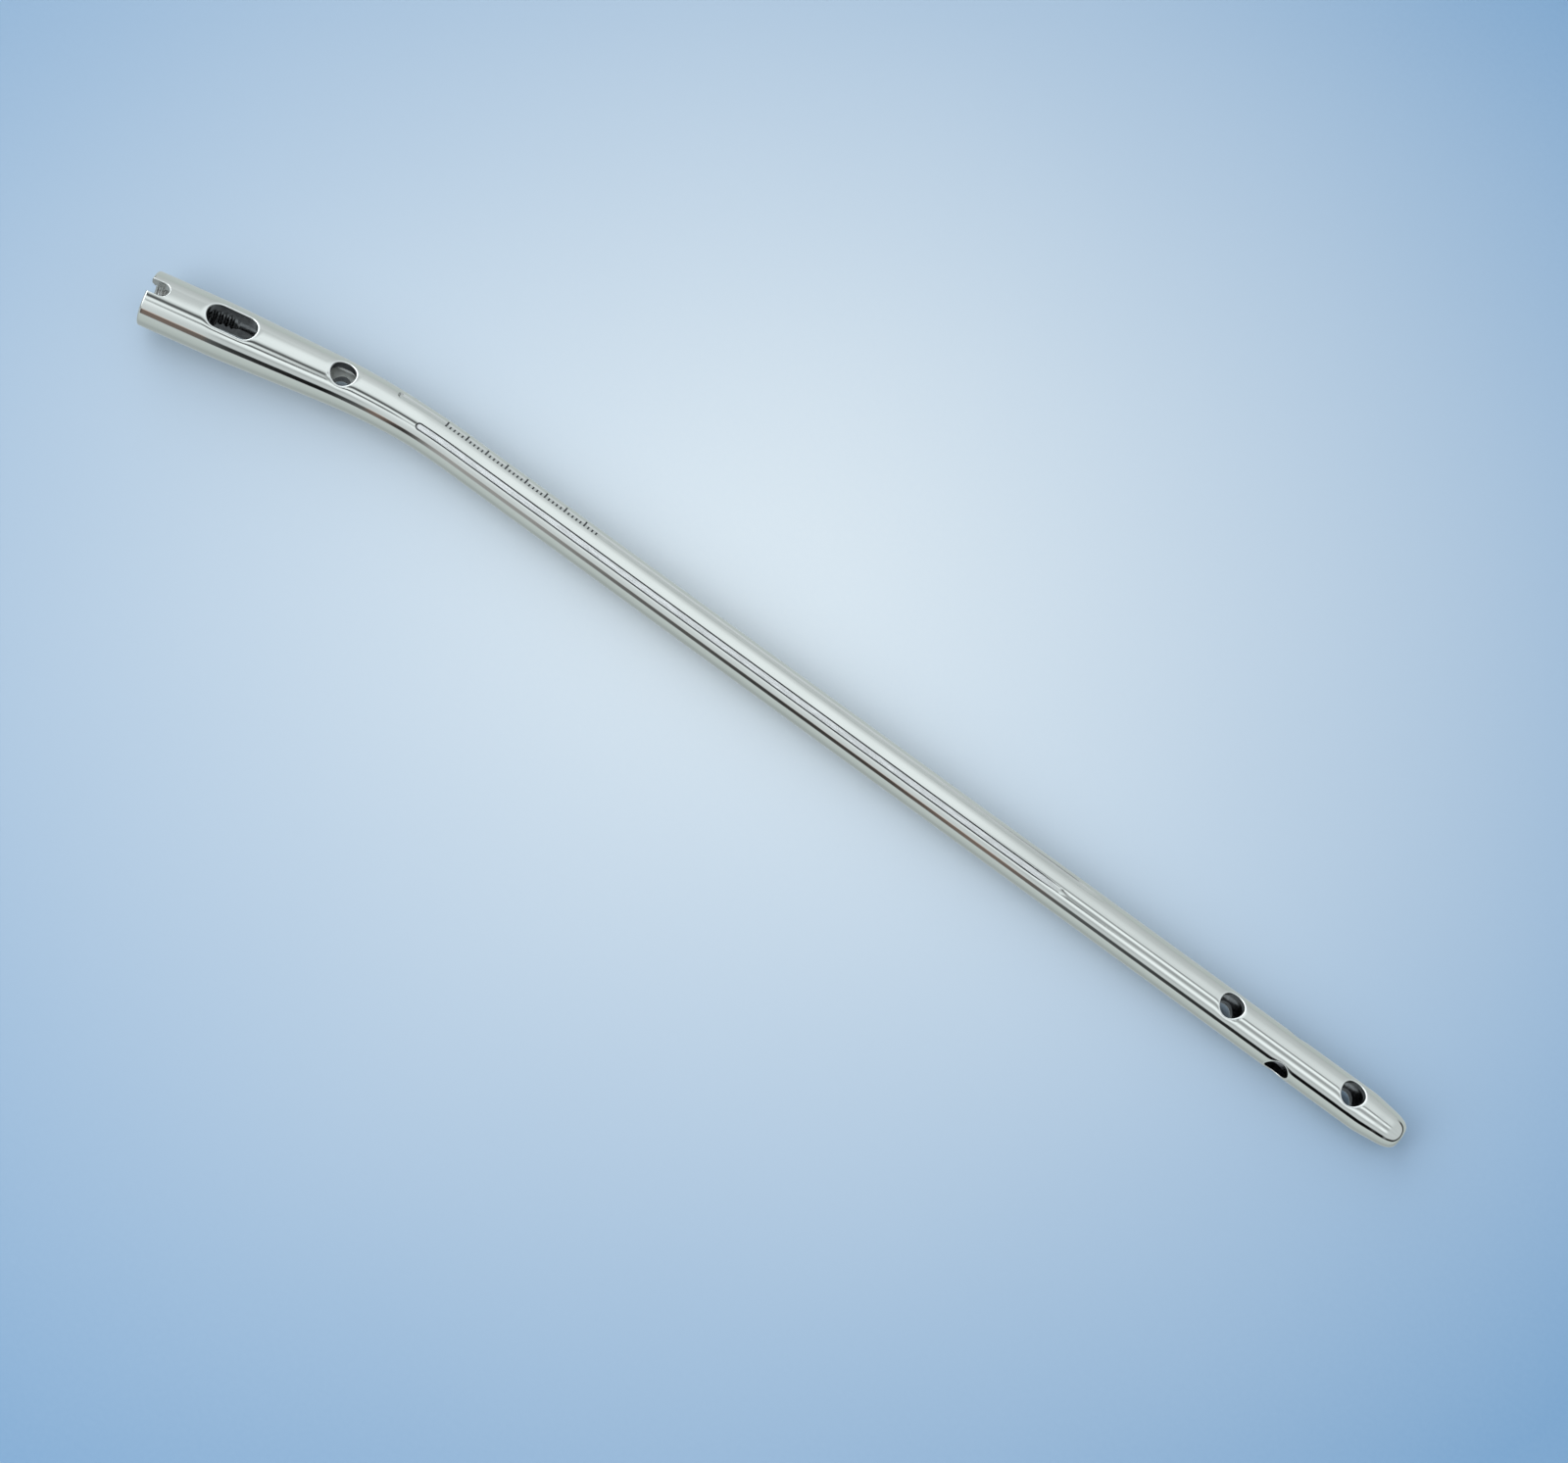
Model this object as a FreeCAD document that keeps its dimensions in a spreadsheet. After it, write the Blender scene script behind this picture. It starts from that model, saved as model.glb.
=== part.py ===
import FreeCAD, Part
import os
import math

# Tibial intramedullary nail, 9 mm diameter and 310 mm long, made as one piece:
# a bar with a thicker head, bent forward by 13.4 degrees below the head,
# with a bore right through it, a threaded mouth, an oblong slot, four cross
# holes, four shallow flutes along the shaft and a tapered nose.
#
# The nail is built in its own frame: the straight shaft lies along +X from the
# end of the bend at x = 0 to the nose, the bend and the head turn towards -Y,
# and the slot and the side-to-side holes run along Z.  The finished nail is
# then laid down as it comes to rest on a flat surface at z = 0: on the lower
# side of its taper and on the lower side of the shaft at the nose.
# The origin is the middle of its box on that surface.

V = FreeCAD.Vector
doc = FreeCAD.newDocument("tibial_nail")

# ---------------------------------------------------------------- dimensions
sheet = doc.addObject("Spreadsheet::Sheet", "Dims")
DIMS = [
    ("shaftrad", 4.5, "radius of the shaft"),
    ("headrad", 6.0, "radius of the head"),
    ("headlen", 17.0, "length of the full-width head"),
    ("bendstart", 39.5, "end face of the head to the start of the bend"),
    ("taperend", 60.0, "end face of the head to the end of the taper"),
    ("bendrad", 132.0, "radius of the bend's centre line"),
    ("bendang", 13.4, "angle of the bend in degrees"),
    ("shaftlen", 239.63, "straight shaft, from the bend to the nose"),
    ("noselen", 9.5, "tapered nose"),
    ("borerad", 3.1, "bore through shaft and head"),
    ("threadrad", 3.5, "bore of the thread's core"),
    ("threadlen", 18.3, "depth of the threaded bore"),
    ("mouthrad", 4.15, "countersink at the thread's mouth"),
    ("tiprad", 1.9, "opening in the nose"),
    ("holerad", 2.65, "cross holes and half the slot's width"),
    ("slotpos", 18.15, "end face to the middle of the slot"),
    ("slotlen", 10.8, "slot, end to end"),
    ("headhole", 42.8, "end face to the round hole, along the axis"),
    ("holeone", 44.0, "nose to the upper side-to-side hole"),
    ("holetwo", 28.75, "nose to the front-to-back hole"),
    ("holethree", 13.55, "nose to the lower side-to-side hole"),
    ("notchrad", 1.55, "half the width of the two keying notches"),
    ("notchdeep", 4.3, "depth of the notches from the end face"),
    ("flutehalf", 0.73, "half the width of a flute"),
    ("flutedeep", 0.3, "depth of a flute"),
    ("fluteang", 26.0, "flutes, degrees to each side of the slot's plane"),
    ("flutenear", 9.3, "front flutes: length that follows the bend"),
    ("flutefar", 15.7, "rear flutes: length that follows the bend"),
    ("fluteend", 147.0, "full-depth end of the front flutes on the shaft"),
    ("flutegap", 8.5, "how much further the rear flutes run"),
    ("fluteout", 8.0, "run-out of the flutes"),
    ("edgebreak", 0.3, "rounding of the rims"),
    ("facebreak", 0.5, "rounding of the head's end face"),
    ("restx", -0.46, "lay-down direction, x part of the upward normal, per thousand"),
    ("resty", -0.1673, "lay-down direction, y part of the upward normal"),
]
for i, (alias, value, note) in enumerate(DIMS):
    row = i + 1
    sheet.set("A%d" % row, note)
    sheet.set("B%d" % row, str(value))
    sheet.setAlias("B%d" % row, alias)
doc.recompute()


def dim(alias):
    return float(sheet.get(alias))


# ------------------------------------------------------------ shaft and nose
# Turned blank: half profile of the straight shaft and nose, revolved about X.
body = doc.addObject("PartDesign::Body", "shaft_blank")
body.Label = "shaft_blank"


def origin_plane(bod, role):
    for f in bod.Origin.OriginFeatures:
        if f.Role == role:
            return f
    raise RuntimeError("no plane " + role)


sk = body.newObject("Sketcher::SketchObject", "shaft_profile")
sk.AttachmentSupport = [(origin_plane(body, "XY_Plane"), "")]
sk.MapMode = "FlatFace"
L, R, NL = dim("shaftlen"), dim("shaftrad"), dim("noselen")
# nose outline from the shaft to the tip: a long gentle curve, then a round end
NOSE = [("noseone", 7.3, 4.36), ("nosetwo", 5.1, 4.05), ("nosethree", 3.0, 3.80),
        ("nosefour", 1.6, 3.52)]
TIPROUND = 1.25
for k, (alias, back, rad) in enumerate(NOSE):
    row = len(DIMS) + 1 + 2 * k
    for j, (suffix, val) in enumerate((("back", back), ("rad", rad))):
        sheet.set("A%d" % (row + j), "nose outline point: " + suffix)
        sheet.set("B%d" % (row + j), str(val))
        sheet.setAlias("B%d" % (row + j), alias + suffix)
row = len(DIMS) + 2 * len(NOSE) + 1
sheet.set("A%d" % row, "nose: radius of the flat end")
sheet.set("B%d" % row, "2.55")
sheet.setAlias("B%d" % row, "tipflat")
doc.recompute()
TF = dim("tipflat")
pts = [V(0, 0, 0), V(0, R, 0), V(L - NL, R, 0)]
pts += [V(L - back, rad, 0) for _, back, rad in NOSE]
pts += [V(L, TF, 0), V(L, 0, 0)]
n = len(pts)
for a in range(n):
    sk.addGeometry(Part.LineSegment(pts[a], pts[(a + 1) % n]), False)
import Sketcher
for a in range(n):
    sk.addConstraint(Sketcher.Constraint("Coincident", a, 2, (a + 1) % n, 1))
sk.addConstraint(Sketcher.Constraint("Coincident", 0, 1, -1, 1))
sk.addConstraint(Sketcher.Constraint("PointOnObject", 0, 2, -2))


def bind(name, geo, point, axis, value, expr):
    """Distance of a sketch point from the origin along one axis."""
    kind = "DistanceX" if axis == "x" else "DistanceY"
    c = sk.addConstraint(Sketcher.Constraint(kind, -1, 1, geo, point, value))
    sk.renameConstraint(c, name)
    sk.setExpression("Constraints." + name, expr)


bind("radius", 0, 2, "y", R, "Dims.shaftrad")
bind("straight", 1, 2, "x", L - NL, "Dims.shaftlen - Dims.noselen")
bind("radius_end", 1, 2, "y", R, "Dims.shaftrad")
for k, (alias, back, rad) in enumerate(NOSE):
    bind(alias + "_x", 2 + k, 2, "x", L - back, "Dims.shaftlen - Dims.%sback" % alias)
    bind(alias + "_y", 2 + k, 2, "y", rad, "Dims.%srad" % alias)
g = 2 + len(NOSE)
bind("tip_x", g, 2, "x", L, "Dims.shaftlen")
bind("tip_y", g, 2, "y", TF, "Dims.tipflat")
bind("end_x", g + 1, 2, "x", L, "Dims.shaftlen")
sk.addConstraint(Sketcher.Constraint("PointOnObject", g + 1, 2, -1))
rev = body.newObject("PartDesign::Revolution", "shaft_turned")
rev.Profile = sk
rev.ReferenceAxis = (sk, ["H_Axis"])
rev.Angle = 360.0
doc.recompute()


# ----------------------------------------------------------- axis of the nail
# Points of the centre line are counted by their distance from the head's end
# face.  In the sheet's terms the bend starts at bendstart and its length is
# bendrad times bendang.
ANG = "Dims.bendang * pi / 180"
SB = "sin(Dims.bendang * 1 deg)"
CB = "cos(Dims.bendang * 1 deg)"


def place_on_head(obj, dist_expr, pitch=90.0):
    """Put an object on the head's straight axis, dist from the end face, its
    own Z along the axis towards the nose."""
    obj.setExpression("Placement.Base.x", "-(Dims.bendrad * %s + (Dims.bendstart - (%s)) * %s)" % (SB, dist_expr, CB))
    obj.setExpression("Placement.Base.y", "-(Dims.bendrad * (1 - %s) + (Dims.bendstart - (%s)) * %s)" % (CB, dist_expr, SB))
    turn_with_head(obj)


def turn_with_head(obj):
    b = math.radians(dim("bendang"))
    rot = FreeCAD.Rotation(V(0, 0, 1), math.degrees(b)).multiply(FreeCAD.Rotation(V(0, 1, 0), 90))
    obj.Placement.Rotation = rot


def station(obj, dist):
    """Put a circle square to the axis at a distance that lies on the bend."""
    b = math.radians(dim("bendang"))
    rb = dim("bendrad")
    th = b - (dist - dim("bendstart")) / rb
    obj.Placement = FreeCAD.Placement(
        V(-rb * math.sin(th), -rb * (1 - math.cos(th)), 0),
        FreeCAD.Rotation(V(0, 0, 1), math.degrees(th)).multiply(FreeCAD.Rotation(V(0, 1, 0), 90)))


# ------------------------------------------------------------------ the head
head = doc.addObject("Part::Cylinder", "head_blank")
head.setExpression("Radius", "Dims.headrad")
head.setExpression("Height", "Dims.headlen")
place_on_head(head, "0")
doc.recompute()
# the end face's outer edge is rounded
end_centre = head.Placement.Base
end_edges = [k + 1 for k, e in enumerate(head.Shape.Edges)
             if e.Closed and (e.CenterOfMass - end_centre).Length < 0.01]
head_round = doc.addObject("Part::Fillet", "head_rounded")
head_round.Base = head
head_round.Edges = [(k, dim("facebreak"), dim("facebreak")) for k in end_edges]

# straight part of the taper, from the head to the start of the bend
TAPER = "(Dims.headrad - Dims.shaftrad) / (Dims.taperend - Dims.headlen)"
cone = doc.addObject("Part::Cone", "taper_blank")
cone.setExpression("Radius1", "Dims.headrad")
cone.setExpression("Radius2", "Dims.headrad - (Dims.bendstart - Dims.headlen) * %s" % TAPER)
cone.setExpression("Height", "Dims.bendstart - Dims.headlen")
place_on_head(cone, "Dims.headlen")

# tapered part of the bend: circles square to the axis, lofted
slope = (dim("headrad") - dim("shaftrad")) / (dim("taperend") - dim("headlen"))
stations = []
K = 6
for k in range(K):
    dist = dim("bendstart") + (dim("taperend") - dim("bendstart")) * k / (K - 1)
    c = doc.addObject("Part::Circle", "bend_ring_%d" % (k + 1))
    c.setExpression("Radius", "Dims.headrad - ((Dims.bendstart - Dims.headlen) + (Dims.taperend - Dims.bendstart) * %d / %d) * %s" % (k, K - 1, TAPER))
    station(c, dist)
    stations.append(c)
loft = doc.addObject("Part::Loft", "bend_taper_blank")
loft.Sections = stations
loft.Solid = True
loft.Ruled = False
loft.Closed = False

# rest of the bend at the shaft's radius: a piece of a ring, centre (0, -bendrad)
left = math.degrees(math.radians(dim("bendang")) - (dim("taperend") - dim("bendstart")) / dim("bendrad"))
ring = doc.addObject("Part::Torus", "bend_blank")
ring.setExpression("Radius1", "Dims.bendrad")
ring.setExpression("Radius2", "Dims.shaftrad")
ring.setExpression("Placement.Base.y", "-Dims.bendrad")
ring.Angle3 = left
ring.Placement.Rotation = FreeCAD.Rotation(V(0, 0, 1), 90)

blank = doc.addObject("Part::MultiFuse", "nail_blank")
blank.Shapes = [body, ring, loft, cone, head_round]
blank.Refine = False
doc.recompute()

# ------------------------------------------------------------------ the bore
cutters = []


def cylinder(name, radius, height, place=None, rot=None, dist=None):
    c = doc.addObject("Part::Cylinder", name)
    c.setExpression("Radius", radius)
    c.setExpression("Height", height)
    if dist is not None:
        place_on_head(c, dist)
    else:
        if rot is not None:
            c.Placement.Rotation = rot
        for ax, ex in zip("xyz", place):
            if ex != "0":
                c.setExpression("Placement.Base." + ax, ex)
    cutters.append(c)
    return c


ALONG = FreeCAD.Rotation(V(0, 1, 0), 90)
UP = FreeCAD.Rotation()
FORE = FreeCAD.Rotation(V(1, 0, 0), 90)
cylinder("bore_shaft", "Dims.borerad", "Dims.shaftlen - Dims.noselen + 1", ("0", "0", "0"), ALONG)
bend_bore = doc.addObject("Part::Torus", "bore_bend")
bend_bore.setExpression("Radius1", "Dims.bendrad")
bend_bore.setExpression("Radius2", "Dims.borerad")
bend_bore.setExpression("Angle3", "Dims.bendang")
bend_bore.setExpression("Placement.Base.y", "-Dims.bendrad")
bend_bore.Placement.Rotation = FreeCAD.Rotation(V(0, 0, 1), 90)
cutters.append(bend_bore)
cylinder("bore_head", "Dims.borerad", "Dims.bendstart - Dims.threadlen + 1", dist="Dims.threadlen - 1")
cylinder("bore_thread", "Dims.threadrad", "Dims.threadlen + 1", dist="-1")
# end of the thread's core: the drill's cone
drill = doc.addObject("Part::Cone", "bore_thread_end")
drill.setExpression("Radius1", "Dims.threadrad")
drill.setExpression("Radius2", "Dims.borerad")
drill.Height = 0.6
place_on_head(drill, "Dims.threadlen")
cutters.append(drill)
mouth = doc.addObject("Part::Cone", "bore_mouth")
mouth.setExpression("Radius1", "Dims.mouthrad + 0.5")
mouth.setExpression("Radius2", "Dims.threadrad")
mouth.setExpression("Height", "Dims.mouthrad + 0.5 - Dims.threadrad")
place_on_head(mouth, "-0.5")
cutters.append(mouth)
# the bore narrows inside the nose and opens in its end
narrow = doc.addObject("Part::Cone", "bore_nose")
narrow.setExpression("Radius1", "Dims.borerad")
narrow.setExpression("Radius2", "Dims.tiprad")
narrow.Height = 4.0
narrow.Placement.Rotation = ALONG
narrow.setExpression("Placement.Base.x", "Dims.shaftlen - Dims.noselen + 1")
cutters.append(narrow)
cylinder("bore_tip", "Dims.tiprad", "Dims.noselen", ("Dims.shaftlen - Dims.noselen + 4", "0", "0"), ALONG)

# ---------------------------------------------------- cross holes and the slot
HH = "4 * Dims.headrad"
cylinder("hole_distal_upper", "Dims.holerad", HH,
         ("Dims.shaftlen - Dims.holeone", "0", "-2 * Dims.headrad"), UP)
cylinder("hole_distal_lower", "Dims.holerad", HH,
         ("Dims.shaftlen - Dims.holethree", "0", "-2 * Dims.headrad"), UP)
cylinder("hole_front_back", "Dims.holerad", HH,
         ("Dims.shaftlen - Dims.holetwo", "2 * Dims.headrad", "0"), FORE)
# the round hole below the head sits just inside the bend
TH = "(Dims.bendang * 1 deg - (Dims.headhole - Dims.bendstart) / Dims.bendrad * 180 / pi * 1 deg)"
cylinder("hole_head", "Dims.holerad", HH,
         ("-Dims.bendrad * sin(%s)" % TH, "-Dims.bendrad * (1 - cos(%s))" % TH, "-2 * Dims.headrad"), UP)
# slot: a bar with round ends, along the head's axis
half = "(Dims.slotlen / 2 - Dims.holerad)"
for name, sign in (("slot_end_near", "-"), ("slot_end_far", "+")):
    c = doc.addObject("Part::Cylinder", name)
    c.setExpression("Radius", "Dims.holerad")
    c.setExpression("Height", HH)
    d = "Dims.bendstart - Dims.slotpos - (%s%s)" % (sign, half)
    c.setExpression("Placement.Base.x", "-(Dims.bendrad * %s + (%s) * %s)" % (SB, d, CB))
    c.setExpression("Placement.Base.y", "-(Dims.bendrad * (1 - %s) + (%s) * %s)" % (CB, d, SB))
    c.setExpression("Placement.Base.z", "-2 * Dims.headrad")
    cutters.append(c)
slot = doc.addObject("Part::Box", "slot_middle")
slot.setExpression("Length", "2 * %s" % half)
slot.setExpression("Width", "2 * Dims.holerad")
slot.setExpression("Height", HH)
d = "(Dims.bendstart - Dims.slotpos + %s)" % half
slot.setExpression("Placement.Base.x", "-(Dims.bendrad * %s + %s * %s) + Dims.holerad * %s" % (SB, d, CB, SB))
slot.setExpression("Placement.Base.y", "-(Dims.bendrad * (1 - %s) + %s * %s) - Dims.holerad * %s" % (CB, d, SB, CB))
slot.setExpression("Placement.Base.z", "-2 * Dims.headrad")
slot.Placement.Rotation = FreeCAD.Rotation(V(0, 0, 1), dim("bendang"))
cutters.append(slot)

# ------------------------------------------------ keying notches in the head
# one cut straight through both walls, with a round bottom
c = doc.addObject("Part::Cylinder", "notch_bottom")
c.setExpression("Radius", "Dims.notchrad")
c.setExpression("Height", HH)
d = "(Dims.bendstart - Dims.notchdeep + Dims.notchrad)"
c.setExpression("Placement.Base.x", "-(Dims.bendrad * %s + %s * %s)" % (SB, d, CB))
c.setExpression("Placement.Base.y", "-(Dims.bendrad * (1 - %s) + %s * %s)" % (CB, d, SB))
c.setExpression("Placement.Base.z", "-2 * Dims.headrad")
cutters.append(c)
nb = doc.addObject("Part::Box", "notch_middle")
nb.setExpression("Length", "Dims.notchdeep - Dims.notchrad + 2")
nb.setExpression("Width", "2 * Dims.notchrad")
nb.setExpression("Height", HH)
d = "(Dims.bendstart + 2)"
nb.setExpression("Placement.Base.x", "-(Dims.bendrad * %s + %s * %s) + Dims.notchrad * %s" % (SB, d, CB, SB))
nb.setExpression("Placement.Base.y", "-(Dims.bendrad * (1 - %s) + %s * %s) - Dims.notchrad * %s" % (CB, d, SB, CB))
nb.setExpression("Placement.Base.z", "-2 * Dims.headrad")
nb.Placement.Rotation = FreeCAD.Rotation(V(0, 0, 1), dim("bendang"))
cutters.append(nb)

cut = doc.addObject("Part::MultiFuse", "cut_tools")
cut.Shapes = cutters
bored = doc.addObject("Part::Cut", "nail_bored")
bored.Base = blank
bored.Tool = cut
doc.recompute()
print("blank volume %.1f, bored %.1f" % (blank.Shape.Volume, bored.Shape.Volume))

# -------------------------------------------------------------------- flutes
# Four flat-bottomed flutes, two on each side of the slot's plane and two
# behind, follow the bend a little way and run out towards the nose.  Each is
# cut by a bar along the shaft, a wedge that rises to the surface at its far
# end, a piece turned about the bend's centre, and the round start.
FLOOR = "(Dims.shaftrad - Dims.flutedeep)"
OVER = 0.6
flutes = []


def flute(name, phi, back, reach):
    """phi: degrees from +Z towards +Y; back: length along the bend; reach:
    length of the full-depth floor on the straight shaft."""
    lean = FreeCAD.Rotation(V(1, 0, 0), -phi)
    sn, cs = "sin(%s * 1 deg)" % phi, "cos(%s * 1 deg)" % phi
    bar = doc.addObject("Part::Box", name + "_bar")
    bar.setExpression("Length", reach)
    bar.setExpression("Width", "2 * Dims.flutehalf")
    bar.setExpression("Height", "Dims.flutedeep + %s" % OVER)
    bar.Placement.Rotation = lean
    bar.setExpression("Placement.Base.y", "-Dims.flutehalf * %s + %s * %s" % (cs, FLOOR, sn))
    bar.setExpression("Placement.Base.z", "Dims.flutehalf * %s + %s * %s" % (sn, FLOOR, cs))
    ramp = doc.addObject("Part::Wedge", name + "_runout")
    for prop, expr in (("Xmin", "-Dims.flutehalf"), ("X2min", "-Dims.flutehalf"), ("Xmax", "Dims.flutehalf"),
                       ("X2max", "Dims.flutehalf"), ("Ymin", "0"), ("Ymax", "Dims.fluteout"),
                       ("Zmin", FLOOR), ("Z2min", "Dims.shaftrad + 0.02"),
                       ("Zmax", "Dims.shaftrad + %s" % OVER), ("Z2max", "Dims.shaftrad + %s" % OVER)):
        ramp.setExpression(prop, expr)
    ramp.Placement.Rotation = lean.multiply(FreeCAD.Rotation(V(0, 0, 1), -90))
    ramp.setExpression("Placement.Base.x", reach)
    # the section in the plane x = 0, turned about the bend's centre
    sec = doc.addObject("Part::Plane", name + "_section")
    sec.setExpression("Length", "Dims.flutedeep + %s" % OVER)
    sec.setExpression("Width", "2 * Dims.flutehalf")
    sec.Placement.Rotation = lean.multiply(FreeCAD.Rotation(V(0, 1, 0), -90))
    sec.setExpression("Placement.Base.y", "-Dims.flutehalf * %s + %s * %s" % (cs, FLOOR, sn))
    sec.setExpression("Placement.Base.z", "Dims.flutehalf * %s + %s * %s" % (sn, FLOOR, cs))
    arc = doc.addObject("Part::Revolution", name + "_bend")
    arc.Source = sec
    arc.Axis = V(0, 0, 1)
    arc.setExpression("Base.y", "-Dims.bendrad")
    arc.setExpression("Angle", "%s / Dims.bendrad * 180 / pi" % back)
    arc.Solid = True
    # round start, the width of the flute
    turn = "(%s / Dims.bendrad * 180 / pi * 1 deg)" % back
    start = doc.addObject("Part::Cylinder", name + "_start")
    start.setExpression("Radius", "Dims.flutehalf")
    start.setExpression("Height", "Dims.flutedeep + %s" % OVER)
    start.Placement.Rotation = FreeCAD.Rotation(V(0, 0, 1), math.degrees(dim(back[5:]) / dim("bendrad"))).multiply(lean)
    start.setExpression("Placement.Base.x", "-(%s * %s + Dims.bendrad) * sin(%s)" % (FLOOR, sn, turn))
    start.setExpression("Placement.Base.y", "-Dims.bendrad + (%s * %s + Dims.bendrad) * cos(%s)" % (FLOOR, sn, turn))
    start.setExpression("Placement.Base.z", "%s * %s" % (FLOOR, cs))
    flutes.extend([bar, ramp, arc, start])


fa = dim("fluteang")
flute("flute_front_left", -fa, "Dims.flutenear", "Dims.fluteend")
flute("flute_rear_left", fa, "Dims.flutefar", "(Dims.fluteend + Dims.flutegap)")
flute("flute_front_right", 180 + fa, "Dims.flutenear", "Dims.fluteend")
flute("flute_rear_right", 180 - fa, "Dims.flutefar", "(Dims.fluteend + Dims.flutegap)")
fl = doc.addObject("Part::MultiFuse", "flute_tools")
fl.Shapes = flutes
fluted = doc.addObject("Part::Cut", "nail_fluted")
fluted.Base = bored
fluted.Tool = fl
doc.recompute()
print("fluted volume %.1f" % fluted.Shape.Volume)

# --------------------------------------------------------------- broken edges
# Rims of the holes and the slot on the outside, and the head's end face.
shape = fluted.Shape
EB = dim("edgebreak")
sb, cb = math.sin(math.radians(dim("bendang"))), math.cos(math.radians(dim("bendang")))
bs = dim("bendstart")


def axis_point(u):
    """Centre line point and direction at distance u from the end face."""
    rb = dim("bendrad")
    la = rb * math.radians(dim("bendang"))
    if u >= bs + la:
        return V(u - bs - la, 0, 0), V(1, 0, 0)
    if u >= bs:
        th = (bs + la - u) / rb
        return V(-rb * math.sin(th), -rb * (1 - math.cos(th)), 0), V(math.cos(th), math.sin(th), 0)
    return V(-rb * sb - (bs - u) * cb, -rb * (1 - cb) - (bs - u) * sb, 0), V(cb, sb, 0)


def outer_rim(edge):
    """True for an edge round a cross hole or the slot on the outer surface."""
    pts = [edge.valueAt(edge.FirstParameter + (edge.LastParameter - edge.FirstParameter) * k / 8.0) for k in range(9)]
    la = dim("bendrad") * math.radians(dim("bendang"))
    total = bs + la + L
    spots = [(dim("slotpos"), (0, 0, 1), dim("slotlen") / 2, True), (dim("headhole"), (0, 0, 1), dim("holerad"), True),
             (total - dim("holeone"), (0, 0, 1), dim("holerad"), False),
             (total - dim("holethree"), (0, 0, 1), dim("holerad"), False),
             (total - dim("holetwo"), (0, 1, 0), dim("holerad"), False)]
    for u, ax, reach, _ in spots:
        c, t = axis_point(u)
        ax = V(*ax)
        side = t.cross(ax)
        ok = True
        for p in pts:
            q = p - c
            a, s, up = q.dot(t), q.dot(side), q.dot(ax)
            rad = math.hypot(s, up)
            if abs(a) > reach + 0.05 or abs(s) > dim("holerad") + 0.05 or rad < dim("shaftrad") - 0.15:
                ok = False
                break
            # on the rim, not on the outer surface beside it
            if reach > dim("holerad") + 0.1:
                inner = reach - dim("holerad")
                dd = math.hypot(max(abs(a) - inner, 0), s)
            else:
                dd = math.hypot(a, s)
            if abs(dd - dim("holerad")) > 0.03:
                ok = False
                break
        if ok:
            return True
    return False


rims = [k + 1 for k, e in enumerate(shape.Edges) if outer_rim(e)]
print("rim edges", len(rims))
rounded = doc.addObject("Part::Fillet", "nail_rounded")
rounded.Base = fluted
rounded.Edges = [(k, EB, EB) for k in rims]
doc.recompute()
print("rounded volume %.1f" % rounded.Shape.Volume, rounded.State)

# -------------------------------------------------------------- lay it down
# The nail leans a little about its own length once it rests: the upward
# normal, in the nail's frame, is (restx / 1000, resty, 1).
nail = rounded
nail.Label = "tibial_nail"
up = V(dim("restx") / 1000.0, dim("resty"), 1).normalize()
ex = (V(1, 0, 0) - up * up.x).normalize()
ey = up.cross(ex)
turn = FreeCAD.Placement(FreeCAD.Matrix(ex.x, ex.y, ex.z, 0, ey.x, ey.y, ey.z, 0, up.x, up.y, up.z, 0, 0, 0, 0, 1))
probe = nail.Shape.copy()
probe.Placement = turn
bb = probe.optimalBoundingBox(False)
nail.Placement = FreeCAD.Placement(V(-(bb.XMin + bb.XMax) / 2, -(bb.YMin + bb.YMax) / 2, -bb.ZMin), turn.Rotation)
doc.recompute()

# ---------------------------------------------------------------- check, write
for o in doc.Objects:
    for s in o.State:
        if "Invalid" in s or "Error" in s:
            raise RuntimeError("%s failed: %s" % (o.Name, o.State))
NODES = [(nail, "tibial_nail")]
for o, node in NODES:
    if o.Shape.isNull() or not o.Shape.isValid():
        raise RuntimeError(node + " has no valid shape")
    if len(o.Shape.Solids) != 1:
        raise RuntimeError("%s has %d solids" % (node, len(o.Shape.Solids)))
os.makedirs("parts", exist_ok=True)
for o, node in NODES:
    o.Shape.exportStep(os.path.join("parts", node + ".step"))
    print(node, "volume %.1f mm3" % o.Shape.Volume, o.Shape.BoundBox)
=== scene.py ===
import math

import bpy
import numpy as np
from mathutils import Matrix, Vector


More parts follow.
